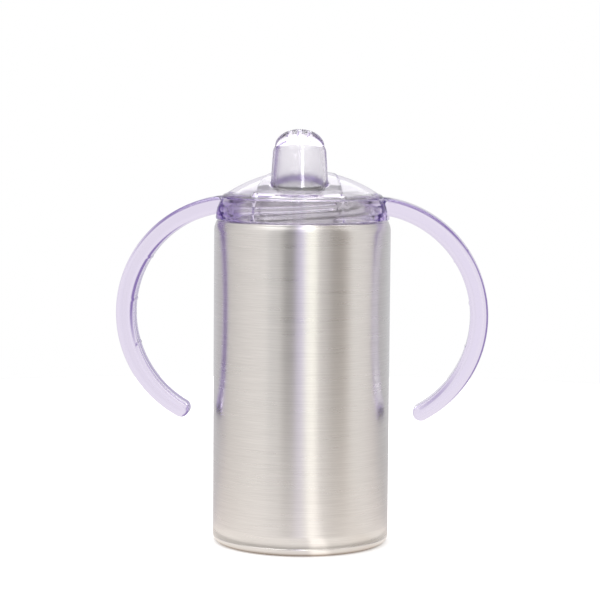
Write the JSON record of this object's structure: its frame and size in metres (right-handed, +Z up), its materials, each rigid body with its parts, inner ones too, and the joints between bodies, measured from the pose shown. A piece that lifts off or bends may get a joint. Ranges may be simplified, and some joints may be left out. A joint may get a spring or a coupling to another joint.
{
  "type": "sippy cup",
  "caption": "Straight double-walled steel training cup with a clear screw lid, an oval drinking spout and a clear ring with C-shaped handles.",
  "frame": {"origin": "centre of the base, on the surface that the cup stands on", "axes": "+Z up along the cup's axis, -Y towards the spout in front, X along the two handles"},
  "size_m": [0.154, 0.073, 0.1718],
  "materials": {
    "outer_steel": "fine horizontal brushing",
    "inner_steel": "satin, electropolished",
    "cover_steel": "brushed in circles",
    "holder_steel": "plain pressed",
    "getter_alloy": "sintered, matt",
    "seal_glass": "melted, glossy",
    "lilac_plastic": "clear, lilac tint, polished",
    "clear_silicone": "soft, translucent white"
  },
  "bodies": {
    "cup": {"outer_shell": "outer_steel", "outer_base": "outer_steel", "base_cover": "cover_steel", "seal_bead": "seal_glass", "getter": "getter_alloy", "getter_holder": "holder_steel", "inner_liner": "inner_steel", "inner_base": "inner_steel"},
    "handles": {"handle_ring": "lilac_plastic"},
    "lid": {"lid": "lilac_plastic", "lip_gasket": "clear_silicone"}
  },
  "joints": [
    {"name": "lid_lift", "type": "slide", "parent": "cup", "child": "handles", "axis": [0, 0, 1], "range_m": [0, 0.0113]},
    {"name": "lid_turn", "type": "hinge", "parent": "handles", "child": "lid", "pos_m": [0, 0, 0.141], "axis": [0, 0, 1], "range_deg": [0, 450]}
  ],
  "couplings": [
    {"joint": "lid_lift", "follows": "lid_turn", "m_per_rad": 0.0014324}
  ]
}
